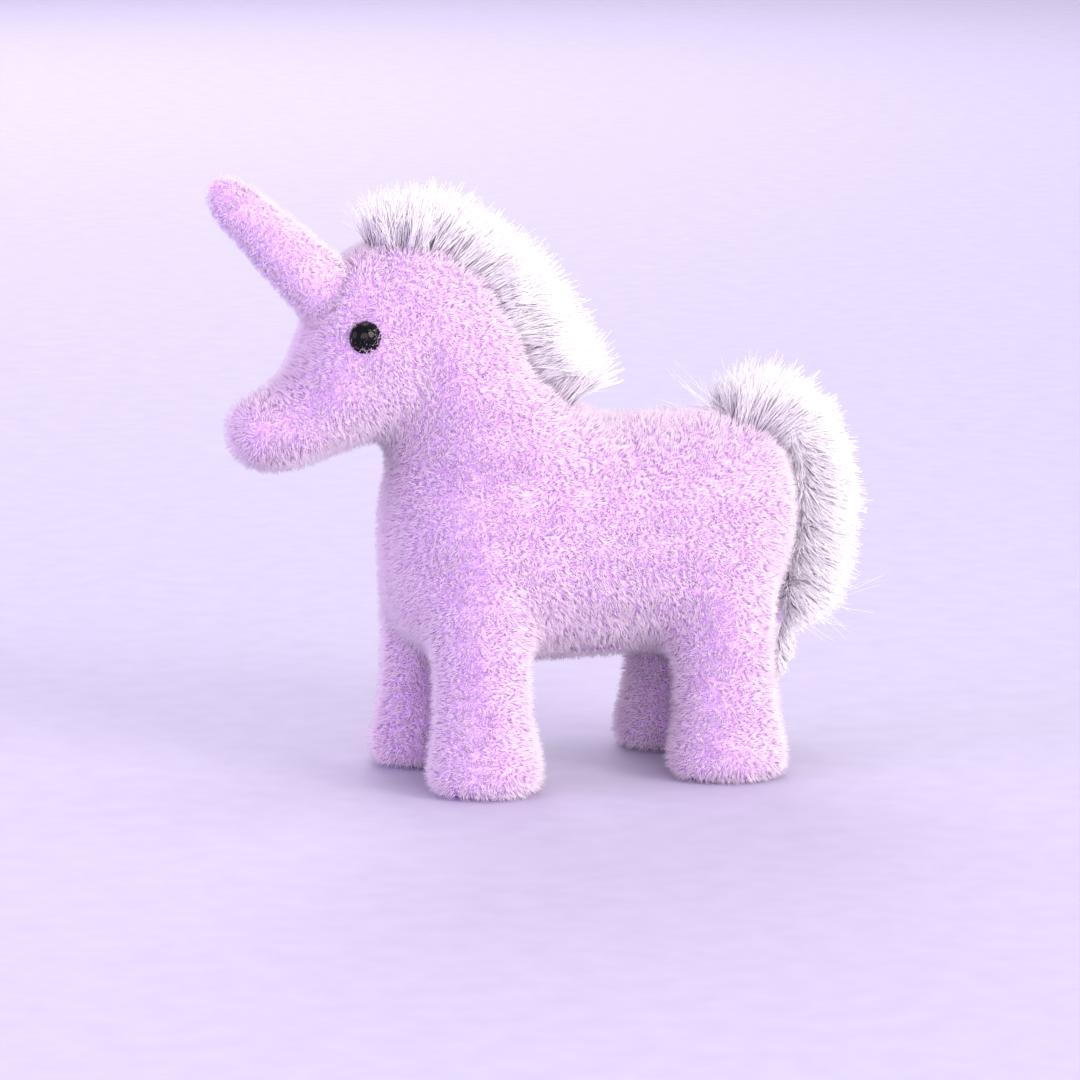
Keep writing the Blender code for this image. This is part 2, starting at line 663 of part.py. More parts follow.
def centre_on_origin(root):
    """Moves the whole toy so that the middle of its outline is over the origin."""
    bpy.context.view_layer.update()
    corners = [
        obj.matrix_world @ vert.co for obj in PARTS.objects if obj.type == "MESH" for vert in obj.data.vertices
    ]
    low, high = min(c.x for c in corners), max(c.x for c in corners)
    root.location.x -= (low + high) / 2
    bpy.context.view_layer.update()


def main():
    root = pivot("toy_root", (0, 0, 0), (0, 0, 1))
    head = pivot("neck_turn_axis", NECK_PIVOT, NECK_AXIS, root)
    horn = pivot("horn_flex_axis", HORN_PIVOT, (0, 1, 0), head)
    tail = pivot("tail_swing_axis", TAIL_PIVOT, (1, 0, 0), root)
    hips = {}
    sockets = []
    for end, end_word in ((-1, "front"), (1, "hind")):
        for side, side_word in ((-1, "left"), (1, "right")):
            word = f"{side_word}_{end_word}"
            x = FEET_MIDDLE_X + end * FEET_APART_LENGTHWISE / 2
            place = Vector((x, side * HIPS_APART_SIDEWAYS / 2, HIP_HEIGHT))
            hips[end, side, word] = pivot(word + "_hip_axis", place, (0, 1, 0), root)
            sockets.append(leg_form(word + "_socket", end, side, CLEARANCE, LEG_SWING))
    forms = {
        "outer": body_form("outer", 0.0),
        "inner": body_form("inner", -COVER_THICKNESS),
        "filling": body_form("filling", -COVER_THICKNESS - CLEARANCE),
        "clearance": body_form("clearance", CLEARANCE),
    }
    add_covers(root, head, forms, sockets)
    add_eyes(head)
    add_legs(hips)
    add_horn(horn, forms["clearance"])
    add_mane(root, head, forms["clearance"])
    add_tail(root, tail, forms["clearance"])
    add_closing_stitches(root)
    centre_on_origin(root)


clear_scene()
PARTS = new_collection("plush_unicorn")
CUTTERS = new_collection("cutters")
CUTTERS.hide_render = True
main()
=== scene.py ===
"""Finish of a palm-sized plush unicorn: stuffed covers, short lilac pile, white mane and tail.

Shapes are given in millimetres from the spot on the ground midway between the four feet:
x towards the tail, y towards the toy's right, z up. spot() turns them into the frame's metres.
"""

import json
from math import cos, pi, radians, sin

import bmesh
import bpy
import numpy as np
from mathutils import Matrix, Vector


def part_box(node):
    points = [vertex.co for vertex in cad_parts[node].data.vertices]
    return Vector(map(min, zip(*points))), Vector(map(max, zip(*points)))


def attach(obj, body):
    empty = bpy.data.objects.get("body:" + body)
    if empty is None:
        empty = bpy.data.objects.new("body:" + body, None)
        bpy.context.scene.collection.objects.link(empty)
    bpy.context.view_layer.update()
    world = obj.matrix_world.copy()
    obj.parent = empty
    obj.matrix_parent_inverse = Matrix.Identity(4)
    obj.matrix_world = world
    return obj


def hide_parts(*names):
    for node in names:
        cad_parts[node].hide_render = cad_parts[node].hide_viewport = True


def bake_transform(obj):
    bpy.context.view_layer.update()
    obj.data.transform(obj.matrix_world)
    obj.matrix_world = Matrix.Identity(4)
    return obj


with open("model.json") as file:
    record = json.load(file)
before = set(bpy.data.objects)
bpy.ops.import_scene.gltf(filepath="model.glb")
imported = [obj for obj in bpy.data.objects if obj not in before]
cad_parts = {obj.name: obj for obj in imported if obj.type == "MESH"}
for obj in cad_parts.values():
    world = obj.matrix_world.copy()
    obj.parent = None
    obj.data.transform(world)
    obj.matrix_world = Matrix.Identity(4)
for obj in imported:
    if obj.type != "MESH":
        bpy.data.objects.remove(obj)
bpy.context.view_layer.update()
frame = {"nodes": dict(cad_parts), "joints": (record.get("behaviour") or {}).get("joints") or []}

MM = 0.001
LEGS = [(end, side) for end in ("front", "hind") for side in ("left", "right")]
JOINTS = {joint["name"]: joint for joint in frame["joints"]}

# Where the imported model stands
SOLES = [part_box(f"{side}_{end}_sole") for end, side in LEGS]
STAND_X = sum(low.x + high.x for low, high in SOLES) / (2 * len(SOLES))
NECK_PIVOT = Vector(JOINTS["neck_turn"]["pos_m"])
NECK_AXIS = Vector(JOINTS["neck_turn"]["axis"])
HORN_PIVOT = Vector(JOINTS["horn_flex"]["pos_m"])

# Short pile
PILE = 1.0  # length of a hair
PILE_DEPTH = 0.75  # how far it stands above the backing, which the forms below include
PILE_WIDTH = 0.078  # drawn coarser than real fibre, so that each hair shows
PILE_PER_MM2 = 50
PILE_LIE = (0.08, 0.0, -0.14)  # the way the whole pile is brushed
PILE_SWIRL = 0.20
PILE_SWIRL_SIZE = 7.0
TUFT = 0.55  # hairs this near each other lean together
TUFT_LEAN = 0.19
TUFT_GATHER = 0.45
HAIR_LEAN = 0.12  # each hair's own lean
PILE_ROOTED = 0.08  # how deep the roots sit in the backing
UNDER_FOOT = 1.3  # no pile faces the ground below this height
ABOVE_GROUND = 0.03

# Horn
HORN_RISE = 44.0  # degrees above level
HORN_PILE = 0.75
HORN_PILE_DEPTH = 0.55
HORN_PILE_FROM = -1.5
HORN_DENSER = 1.15
HORN_TIP_FROM = 11
HORN_STITCHES = 10
HORN_STITCH_FROM = 1.4
HORN_STITCH_STEP = 1.05
HORN_STITCH_OUT = 0.12
HORN_STITCH_FORM = (0.36, 0.5, 1.0, 1)  # along the horn, out from it, across it
HORN_STITCH_RADIUS = 0.62

# Long pile
LONG_WIDTH = 0.10  # drawn coarser than real fibre too
LONG_PER_MM2 = 100
LONG_ROOTED = 0.1
LONG_DROOP = (0.2, 0, -0.25)
LOCK_LEAN = 0.15
LOCK_GATHER = 0.45
LONG_HAIR_LEAN = 0.09
LONG_HAIR_BEND = 0.10
STRAY_WIDTH = 0.055
MANE_FRONT, MANE_BACK = -17.6, -1.0
MANE_LOWEST = 27.6
MANE_HALF_WIDTH = 2.75
MANE_LOCKS = 260
TUFT_LOCKS = 90
TAIL_LOCKS = 130
TAIL_DENSITY = 0.95
TAIL_SPLIT = 19.0  # height at which the tail's pile is parted into two pieces
STRIP_SPREAD = 0.35  # how far the long pile follows the strip's round sides

# Eyes
EYE_SUNK = 0.55  # how much deeper the bead is pulled into the pile than its seat allows for
EYE_CLEAR = 0.5  # the pile stays this far from the middle of the bead
EYE_FLAT = 0.72
EYE_OUT = 0.15

# Stuffing
WORK = 100.0  # the covers are sewn and stuffed at this many times full size
VOXEL = 0.75
SWELL_LIMIT = 0.4
SWELL_FRAMES = 20
SEAM_HALF = 0.45
GUSSET_EDGE = 4.2

# Cuts between the covers
LEG_CUT = 10.0
NECK_CUT = 3.0

# Closing stitches
BELLY_STITCHES = 6
BELLY_STITCH_FORM = (0.3, 1.4, 0.3, 1)
BELLY_STITCH_RADIUS = 0.4

# Torso: x, underside, top, width
TORSO = (
    (-16.5, 15.0, 25.0, 6.0),
    (-15.6, 12.4, 27.2, 11.0),
    (-13.6, 10.4, 28.7, 15.0),
    (-10.2, 9.5, 29.4, 16.8),
    (-4.4, 9.3, 29.5, 17.0),
    (1.3, 9.3, 29.1, 16.9),
    (9.0, 9.7, 29.1, 17.4),
    (13.0, 10.9, 28.8, 16.2),
    (15.7, 13.4, 27.6, 13.0),
    (16.9, 16.2, 25.8, 8.8),
    (17.5, 18.4, 23.8, 4.6),
)
# Neck: front x, front z, back x, back z, width
NECK = (
    (-15.5, 20.3, 4.7, 22.3, 15.3),
    (-16.5, 26.1, 3.1, 27.6, 14.6),
    (-16.7, 29.0, -1.4, 30.9, 13.4),
    (-17.3, 31.9, -4.2, 33.8, 12.6),
    (-18.5, 34.8, -5.4, 36.9, 12.2),
    (-19.6, 37.7, -6.9, 39.6, 11.6),
    (-20.2, 40.6, -9.0, 41.9, 10.2),
    (-19.6, 42.5, -11.5, 43.6, 7.8),
    (-17.9, 43.6, -13.5, 44.2, 4.4),
)
# Head: x, underside, top, width
HEAD = (
    (-14.0, 29.8, 42.5, 11.4),
    (-17.1, 27.8, 43.7, 12.4),
    (-19.8, 26.8, 42.9, 12.0),
    (-21.9, 26.2, 40.3, 11.4),
    (-23.2, 25.8, 36.7, 10.4),
    (-24.4, 25.5, 34.0, 9.5),
    (-25.7, 25.4, 32.7, 8.8),
    (-27.4, 25.6, 32.0, 8.1),
    (-28.8, 26.3, 31.3, 6.8),
    (-29.5, 27.6, 30.2, 3.6),
)
# Leg: height, half length, half width, share of the way from the foot's place to the hip's
LEG = (
    (-0.6, 4.2, 4.0, 0.0),
    (0.8, 4.95, 4.7, 0.0),
    (2.6, 4.95, 4.65, 0.1),
    (4.6, 4.5, 4.2, 0.29),
    (8.5, 4.25, 3.8, 0.65),
    (12.0, 4.45, 3.8, 1.0),
    (16.0, 4.6, 3.5, 1.15),
    (19.5, 3.0, 2.4, 1.3),
)
# How far each leg stands from its place, towards the tail, and how much longer it is than the rest
LEG_SHIFT = {
    "left_front": (0.0, 0.0),
    "right_front": (-0.6, 0.0),
    "left_hind": (-0.35, 0.25),
    "right_hind": (-0.4, 0.0),
}
# Horn: way from its foot to its tip, radius
HORN = (
    (-3.0, 3.4),
    (0.0, 3.0),
    (3.7, 2.7),
    (7.5, 2.35),
    (10.6, 2.05),
    (12.1, 1.65),
    (12.9, 1.05),
    (13.2, 0.4),
)
# The middle of the tail's backing strip, from the dock down: x, z, half depth, half width
TAIL = (
    (15.9, 28.6, 0.5, 1.6),
    (17.3, 27.0, 0.7, 2.2),
    (18.2, 24.0, 0.8, 2.4),
    (18.4, 19.5, 0.8, 2.4),
    (18.0, 15.5, 0.7, 2.2),
    (17.1, 12.5, 0.7, 1.7),
    (16.4, 10.0, 0.7, 1.3),
    (16.0, 7.4, 0.55, 1.0),
)


def spot(x, y, z):
    return Vector((STAND_X + x * MM, y * MM, z * MM))


def box_middle(node):
    low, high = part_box(node)
    return (low + high) / 2


# ---- modelling -----------------------------------------------------------------------
def curve_through(rows, steps):
    """Rows of sizes along a form, with a smooth run of rows put in between each two."""
    rows = np.array(rows, float)
    ends = np.vstack([2 * rows[0] - rows[1], rows, 2 * rows[-1] - rows[-2]])
    smooth = []
    for index in range(len(rows) - 1):
        a, b, c, d = ends[index : index + 4]
        for step in range(steps):
            t = step / steps
            squared = (2 * a - 5 * b + 4 * c - d) * t**2 / 2
            cubed = (3 * b - a - 3 * c + d) * t**3 / 2
            smooth.append(b + (c - a) * t / 2 + squared + cubed)
    smooth.append(rows[-1])
    return np.array(smooth)


def lofted(bm, sections, sides=32):
    """Adds a closed form through ovals, each given as its middle and its two half axes."""
    loops = []
    for middle, along, across in sections:
        facing = along.cross(across).normalized()
        placed = Matrix((along, across, facing)).transposed().to_4x4()
        placed.translation = middle
        made = bmesh.ops.create_circle(bm, cap_ends=False, radius=1, segments=sides, matrix=placed)
        loops.append(list(dict.fromkeys(edge for vert in made["verts"] for edge in vert.link_edges)))
    for near, far in zip(loops, loops[1:]):
        bmesh.ops.bridge_loops(bm, edges=near + far)
    bmesh.ops.holes_fill(bm, edges=loops[0] + loops[-1])


def upright_oval(x, low, high, wide):
    return spot(x, 0, (low + high) / 2), Vector((0, 0, (high - low) / 2 * MM)), Vector((0, wide / 2 * MM, 0))


def torso_sections():
    for x, low, high, wide in curve_through(TORSO, 4):
        yield upright_oval(x, low, high, wide)


def neck_sections():
    for front_x, front_z, back_x, back_z, wide in curve_through(NECK, 4):
        front, back = spot(front_x, 0, front_z), spot(back_x, 0, back_z)
        yield (front + back) / 2, (back - front) / 2, Vector((0, wide / 2 * MM, 0))


def head_sections():
    for x, low, high, wide in curve_through(HEAD, 4):
        yield upright_oval(x, low, high, wide)


def leg_sections(end, side):
    foot = box_middle(f"{side}_{end}_sole")
    hip = Vector(JOINTS[f"{side}_{end}_hip"]["pos_m"])
    shift, more = LEG_SHIFT[f"{side}_{end}"]
    for z, half_long, half_wide, share in curve_through(LEG, 4):
        middle = Vector((foot.x + shift * MM, foot.y + (hip.y - foot.y) * share, z * MM))
        yield middle, Vector(((half_long + more) * MM, 0, 0)), Vector((0, half_wide * MM, 0))


def to_object(bm, name):
    bmesh.ops.recalc_face_normals(bm, faces=bm.faces)
    mesh = bpy.data.meshes.new(name)
    bm.to_mesh(mesh)
    bm.free()
    obj = bpy.data.objects.new(name, mesh)
    bpy.context.scene.collection.objects.link(obj)
    return obj


def with_modifiers_applied(obj):
    bpy.context.view_layer.update()
    graph = bpy.context.evaluated_depsgraph_get()
    mesh = bpy.data.meshes.new_from_object(obj.evaluated_get(graph))
    obj.modifiers.clear()
    obj.data = mesh
    return obj


def smoothed(obj, times, inset=0.0):
    """Rounds the creases where forms meet, then takes the surface in by the depth of the pile."""
    bm = bmesh.new()
    bm.from_mesh(obj.data)
    for _ in range(times):
        bmesh.ops.smooth_vert(
            bm, verts=bm.verts, factor=0.5, use_axis_x=True, use_axis_y=True, use_axis_z=True
        )
    bm.normal_update()
    moves = [vert.normal * inset for vert in bm.verts]
    for vert, move in zip(bm.verts, moves):
        vert.co -= move
    bm.to_mesh(obj.data)
    bm.free()
    return obj


def points_of(mesh):
    found = np.empty(len(mesh.vertices) * 3, np.float32)
    mesh.vertices.foreach_get("co", found)
    return found.reshape(-1, 3).astype(float)


def sewn_seams(places):
    """Which points lie on the seams that hold the cover in while it is stuffed."""
    x, y, z = places[:, 0], np.abs(places[:, 1]), places[:, 2]
    gusset = (np.abs(y - GUSSET_EDGE) < SEAM_HALF) & (z < 15.5) & (x > -15)
    centre_back = (y < SEAM_HALF) & ((z > 28.0) | (x > 16.0))
    brow = (np.abs(y - 2.6) < 0.4) & (x < -17) & (z > 31)
    chin = (y < 0.4) & (x < -14) & (z < 30)
    return gusset | centre_back | brow | chin


def stuffed(obj):
    """Blows the cover up as filling does. The seams hold, and no point goes past the limit."""
    obj.data.transform(Matrix.Scale(WORK, 4))
    before = points_of(obj.data)
    places = before / WORK / MM - np.array([STAND_X / MM, 0, 0])
    held = obj.vertex_groups.new(name="seams")
    held.add([int(index) for index in np.flatnonzero(sewn_seams(places))], 1.0, "REPLACE")
    cloth = obj.modifiers.new("Filling", "CLOTH")
    cloth.settings.quality = 4
    cloth.settings.mass = 0.3
    cloth.settings.tension_stiffness = 10
    cloth.settings.compression_stiffness = 10
    cloth.settings.shear_stiffness = 5
    cloth.settings.bending_stiffness = 0.5
    cloth.settings.use_pressure = True
    cloth.settings.uniform_pressure_force = 4
    cloth.settings.vertex_group_mass = held.name
    cloth.settings.effector_weights.gravity = 0
    cloth.collision_settings.use_collision = False
    cloth.collision_settings.use_self_collision = False
    cloth.point_cache.frame_start = 1
    cloth.point_cache.frame_end = SWELL_FRAMES
    for number in range(1, SWELL_FRAMES + 1):
        bpy.context.scene.frame_set(number)
    with_modifiers_applied(obj)
    bpy.context.scene.frame_set(1)
    step = points_of(obj.data) - before
    far = np.linalg.norm(step, axis=1, keepdims=True)
    most = SWELL_LIMIT * MM * WORK
    after = before + step * np.minimum(1.0, most / np.maximum(far, 1e-9))
    obj.data.vertices.foreach_set("co", after.astype(np.float32).ravel())
    obj.data.transform(Matrix.Scale(1 / WORK, 4))
    obj.vertex_groups.clear()
    return obj


def body_form():
    """Torso, neck, head and legs as one stuffed skin, under the pile."""
    bm = bmesh.new()
    lofted(bm, list(torso_sections()))
    lofted(bm, list(neck_sections()))
    lofted(bm, list(head_sections()))
    for end, side in LEGS:
        lofted(bm, list(leg_sections(end, side)))
    skin = to_object(bm, "skin")
    skin.data.transform(Matrix.Scale(WORK, 4))
    joined = skin.modifiers.new("Join", "REMESH")
    joined.mode = "VOXEL"
    joined.voxel_size = VOXEL * MM * WORK
    with_modifiers_applied(skin)
    skin.data.transform(Matrix.Scale(1 / WORK, 4))
    smoothed(skin, 5, PILE_DEPTH * MM)
    stuffed(skin)
    finer = skin.modifiers.new("Finer", "SUBSURF")
    finer.levels = finer.render_levels = 1
    with_modifiers_applied(skin)
    return skin


def cut_off(mesh, planes, name):
    """A closed copy of the part of a skin in front of every (point, direction) plane."""
    bm = bmesh.new()
    bm.from_mesh(mesh)
    for point, direction in planes:
        geometry = bm.verts[:] + bm.edges[:] + bm.faces[:]
        bmesh.ops.bisect_plane(
            bm, geom=geometry, dist=1e-7, plane_co=point, plane_no=direction, clear_inner=True
        )
        rim = [edge for edge in bm.edges if edge.is_boundary]
        made = bmesh.ops.holes_fill(bm, edges=rim)["faces"]
        bmesh.ops.triangulate(bm, faces=made)
    piece = to_object(bm, name)
    piece.data.shade_smooth()
    return piece


# ---- pile ----------------------------------------------------------------------------
def strand(rings):
    """One hair, 1 long and 1 in radius, from its root at the origin to its tip on +Z.

    Short pile has pointed hairs. Hairs with more rings can bend, and end blunt, as cut pile does.
    """
    tip = 0.0 if rings == 1 else 0.4
    bm = bmesh.new()
    half_up = Matrix.Translation((0, 0, 0.5))
    bmesh.ops.create_cone(bm, cap_ends=True, segments=3, radius1=1, radius2=tip, depth=1, matrix=half_up)
    for ring in range(1, rings):
        geometry = bm.verts[:] + bm.edges[:] + bm.faces[:]
        level = (0, 0, ring / rings)
        bmesh.ops.bisect_plane(bm, geom=geometry, dist=1e-6, plane_co=level, plane_no=(0, 0, 1))
    bmesh.ops.recalc_face_normals(bm, faces=bm.faces)
    bm.verts.index_update()
    places = np.array([vert.co for vert in bm.verts])
    corners = [[vert.index for vert in face.verts] for face in bm.faces]
    bm.free()
    return places, corners


def hairs(name, roots, heads, bends, lengths, widths, shades, rings=1):
    """Copies of one hair: each from its root along its heading, with its tip moved by its bend."""
    places, corners = strand(rings)
    count, size = len(roots), len(places)
    t = places[:, 2]
    aside = np.cross(heads, np.array([0.31, 0.87, 0.38]))
    aside /= np.linalg.norm(aside, axis=1, keepdims=True)
    other = np.cross(heads, aside)
    half = (widths / 2)[:, None, None]
    made = roots[:, None, :] + heads[:, None, :] * (lengths[:, None] * t)[:, :, None]
    made += bends[:, None, :] * (t**2)[None, :, None]
    made += half * (aside[:, None, :] * places[None, :, 0:1] + other[:, None, :] * places[None, :, 1:2])
    made[:, :, 2] = np.maximum(made[:, :, 2], ABOVE_GROUND * MM)
    order = np.concatenate([np.array(face) for face in corners])
    sizes = np.array([len(face) for face in corners])
    loops = (order[None, :] + size * np.arange(count)[:, None]).ravel()
    totals = np.tile(sizes, count)
    mesh = bpy.data.meshes.new(name)
    mesh.vertices.add(count * size)
    mesh.vertices.foreach_set("co", made.astype(np.float32).ravel())
    mesh.loops.add(len(loops))
    mesh.loops.foreach_set("vertex_index", loops.astype(np.int32))
    mesh.polygons.add(len(totals))
    mesh.polygons.foreach_set("loop_start", np.concatenate([[0], np.cumsum(totals)[:-1]]).astype(np.int32))
    mesh.polygons.foreach_set("use_smooth", np.ones(len(totals), bool))
    mesh.update(calc_edges=True)
    layer = mesh.uv_layers.new(name="OFBake")
    along = np.tile(t[order], count)
    shade = np.repeat(shades, len(order))
    layer.data.foreach_set("uv", np.stack([0.02 + 0.96 * along, shade], axis=1).astype(np.float32).ravel())
    obj = bpy.data.objects.new(name, mesh)
    bpy.context.scene.collection.objects.link(obj)
    return obj


def sown(mesh, per_mm2, rng):
    """Evenly scattered roots on a surface, with the surface's direction at each."""
    mesh.calc_loop_triangles()
    places = points_of(mesh)
    normals = np.empty(len(mesh.vertices) * 3, np.float32)
    mesh.vertices.foreach_get("normal", normals)
    normals = normals.reshape(-1, 3)
    triangles = np.empty(len(mesh.loop_triangles) * 3, np.int32)
    mesh.loop_triangles.foreach_get("vertices", triangles)
    triangles = triangles.reshape(-1, 3)
    a, b, c = (places[triangles[:, corner]] for corner in range(3))
    area = np.linalg.norm(np.cross(b - a, c - a), axis=1) / 2
    reach = np.cumsum(area)
    count = int(reach[-1] / MM**2 * per_mm2)
    at = (np.arange(count) + rng.random(count)) / count * reach[-1]
    chosen = np.minimum(np.searchsorted(reach, at), len(area) - 1)
    u, v = rng.random(count), rng.random(count)
    folded = u + v > 1
    u[folded], v[folded] = 1 - u[folded], 1 - v[folded]
    share = np.stack([1 - u - v, u, v], axis=1)
    corners = triangles[chosen]
    roots = (places[corners] * share[:, :, None]).sum(axis=1)
    headings = (normals[corners] * share[:, :, None]).sum(axis=1)
    headings /= np.linalg.norm(headings, axis=1, keepdims=True)
    return roots, headings


def in_mm(roots):
    return roots / MM - np.array([STAND_X / MM, 0, 0])


def unit(vectors):
    return vectors / np.maximum(np.linalg.norm(vectors, axis=1, keepdims=True), 1e-9)


def drift(places, size, seed):
    """A smooth wandering direction over the surface, about size millimetres from turn to turn."""
    rng = np.random.default_rng(seed)
    found = np.zeros_like(places)
    for _ in range(5):
        wave = rng.normal(size=3) * 2 * pi / size
        push = rng.normal(size=3)
        found += np.sin(places @ wave + rng.random() * 2 * pi)[:, None] * push
    return found / 3


def mane_share(places, headings):
    """1 where the white strip is sewn in over the crest and the tail's dock, 0 elsewhere."""
    x, y, z = places.T
    up = headings[:, 2]
    back = headings[:, 0]
    crest = (x > MANE_FRONT) & (x < MANE_BACK) & (z > MANE_LOWEST) & (up + 0.6 * back > 0.35)
    ragged = MANE_HALF_WIDTH + 0.25 * np.sin(x * 2.1) + 0.15 * np.sin(x * 5.3 + 1)
    rounded_front = np.sqrt(np.clip((x - MANE_FRONT) / 2.2, 0, 1))
    rounded_back = np.sqrt(np.clip((MANE_BACK - x) / 1.6, 0, 1))
    ragged *= rounded_front * rounded_back
    on_mane = crest & (np.abs(y) < ragged)
    on_dock = (x > 12.2) & (z > 25.6) & (np.abs(y) < 2.5) & (up + back > 0.5)
    return on_mane, on_dock


# ---- materials -----------------------------------------------------------------------
def colour(code):
    """A hex colour as linear red, green, blue and 1."""
    parts = [int(code[start : start + 2], 16) / 255 for start in (1, 3, 5)]
    return tuple(c / 12.92 if c < 0.04045 else ((c + 0.055) / 1.055) ** 2.4 for c in parts) + (1.0,)


def add_node(tree, kind, links=None, **settings):
    """Adds a node. A setting that is a socket's name goes on the socket, any other on the node."""
    node = tree.nodes.new(kind)
    for name, value in settings.items():
        if hasattr(node, name):
            setattr(node, name, value)
        else:
            node.inputs[name.replace("_", " ")].default_value = value
    for name, source in (links or {}).items():
        tree.links.new(source, node.inputs[name])
    return node


def new_material(name, **settings):
    made = bpy.data.materials.new(name)
    made.use_nodes = True
    shader = made.node_tree.nodes["Principled BSDF"]
    for socket, value in settings.items():
        shader.inputs[socket.replace("_", " ")].default_value = value
    return made, made.node_tree, shader


def ramp(node, stops):
    """Sets a colour ramp's stops, given as (place, hex)."""
    elements = node.color_ramp.elements
    while len(elements) < len(stops):
        elements.new(0.5)
    for element, (place, code) in zip(elements, stops):
        element.position = place
        element.color = colour(code)
    return node


def pile_material(name, stops, pale, deep, roughness):
    """Hairs: the colour changes from root to tip along u, and from hair to hair along v."""
    made, tree, shader = new_material(name, Roughness=roughness, Sheen_Weight=0.25, Sheen_Roughness=0.4)
    shader.inputs["Specular IOR Level"].default_value = 0.35
    layer = add_node(tree, "ShaderNodeUVMap", uv_map="OFBake")
    split = add_node(tree, "ShaderNodeSeparateXYZ", {"Vector": layer.outputs["UV"]})
    along = ramp(add_node(tree, "ShaderNodeValToRGB", {"Fac": split.outputs["X"]}), stops)
    own = ramp(add_node(tree, "ShaderNodeValToRGB", {"Fac": split.outputs["Y"]}), [(0, deep), (1, pale)])
    mixed = add_node(tree, "ShaderNodeMix", data_type="RGBA", blend_type="MULTIPLY")
    mixed.inputs["Factor"].default_value = 1.0
    tree.links.new(along.outputs["Color"], mixed.inputs["A"])
    tree.links.new(own.outputs["Color"], mixed.inputs["B"])
    tree.links.new(mixed.outputs["Result"], shader.inputs["Base Color"])
    return made


def acrylic_pile():
    """Cut acrylic pile, dyed pale lilac: the deeper lilac towards the roots is painted shade for the shade
    down between the hairs, and the tips are almost white.
    """
    stops = [(0.0, "#ecd0f1"), (0.35, "#f8e5f7"), (0.8, "#faedf9"), (1.0, "#fdf5fb")]
    return pile_material("acrylic_pile", stops, "#ffffff", "#f6ebf7", 0.6)


def long_acrylic_pile():
    """Undyed long acrylic pile: ivory white; the cool lilac at the roots is painted shade for the shade down
    between the hairs.
    """
    stops = [(0.0, "#f0eaf6"), (0.35, "#faf7fb"), (1.0, "#fefdfd")]
    return pile_material("long_acrylic_pile", stops, "#ffffff", "#f6f2f9", 0.5)


def knitted_backing(name, light, dark):
    """Tricot knit that the pile is rooted in: ribs about 0.35 mm apart, seen where the pile parts."""
    made, tree, shader = new_material(name, Roughness=0.9, Sheen_Weight=0.3)
    place = add_node(tree, "ShaderNodeTexCoord")
    wales = add_node(
        tree, "ShaderNodeTexVoronoi", {"Vector": place.outputs["Object"]}, Scale=1 / (0.35 * MM), feature="F1"
    )
    tone = add_node(
        tree, "ShaderNodeTexNoise", {"Vector": place.outputs["Object"]}, Scale=1 / (2.2 * MM), Detail=4.0
    )
    both = add_node(tree, "ShaderNodeMath", operation="MULTIPLY")
    tree.links.new(wales.outputs["Distance"], both.inputs[0])
    tree.links.new(tone.outputs["Fac"], both.inputs[1])
    shown = ramp(
        add_node(tree, "ShaderNodeValToRGB", {"Fac": both.outputs["Value"]}), [(0.05, dark), (0.5, light)]
    )
    tree.links.new(shown.outputs["Color"], shader.inputs["Base Color"])
    bump = add_node(
        tree, "ShaderNodeBump", {"Height": wales.outputs["Distance"]}, Strength=0.5, Distance=0.08 * MM
    )
    tree.links.new(bump.outputs["Normal"], shader.inputs["Normal"])
    return made


def black_glass():
    """Pressed black glass bead: near-black, smooth, with dim reflections."""
    made, tree, shader = new_material("black_glass", Roughness=0.10, IOR=1.52)
    shader.inputs["Specular IOR Level"].default_value = 0.15
    place = add_node(tree, "ShaderNodeTexCoord")
    haze = add_node(
        tree, "ShaderNodeTexNoise", {"Vector": place.outputs["Object"]}, Scale=1 / (0.5 * MM), Detail=2.0
    )
    shown = add_node(tree, "ShaderNodeValToRGB", {"Fac": haze.outputs["Fac"]})
    tint = ramp(shown, [(0.3, "#040305"), (0.8, "#0c0910")])
    tree.links.new(tint.outputs["Color"], shader.inputs["Base Color"])
    return made


def spun_thread(name, light, dark):
    """Polyester sewing thread, two plies: pale and dark bands that wind round it."""
    made, tree, shader = new_material(name, Roughness=0.55, Sheen_Weight=0.2)
    place = add_node(tree, "ShaderNodeTexCoord")
    plies = add_node(
        tree,
        "ShaderNodeTexWave",
        {"Vector": place.outputs["Object"]},
        Scale=1 / (0.5 * MM),
        wave_type="BANDS",
        bands_direction="DIAGONAL",
    )
    shown = add_node(tree, "ShaderNodeValToRGB", {"Fac": plies.outputs["Fac"]})
    tint = ramp(shown, [(0.2, dark), (0.8, light)])
    tree.links.new(tint.outputs["Color"], shader.inputs["Base Color"])
    return made


def give(obj, material):
    obj.data.materials.clear()
    obj.data.materials.append(material)
    return obj


# ---- pieces --------------------------------------------------------------------------
HEAD_PLANE = NECK_PIVOT - NECK_AXIS * NECK_CUT * MM


def joined_to_neck(piece):
    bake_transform(piece)


def joined_to_hip(piece):
    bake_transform(piece)


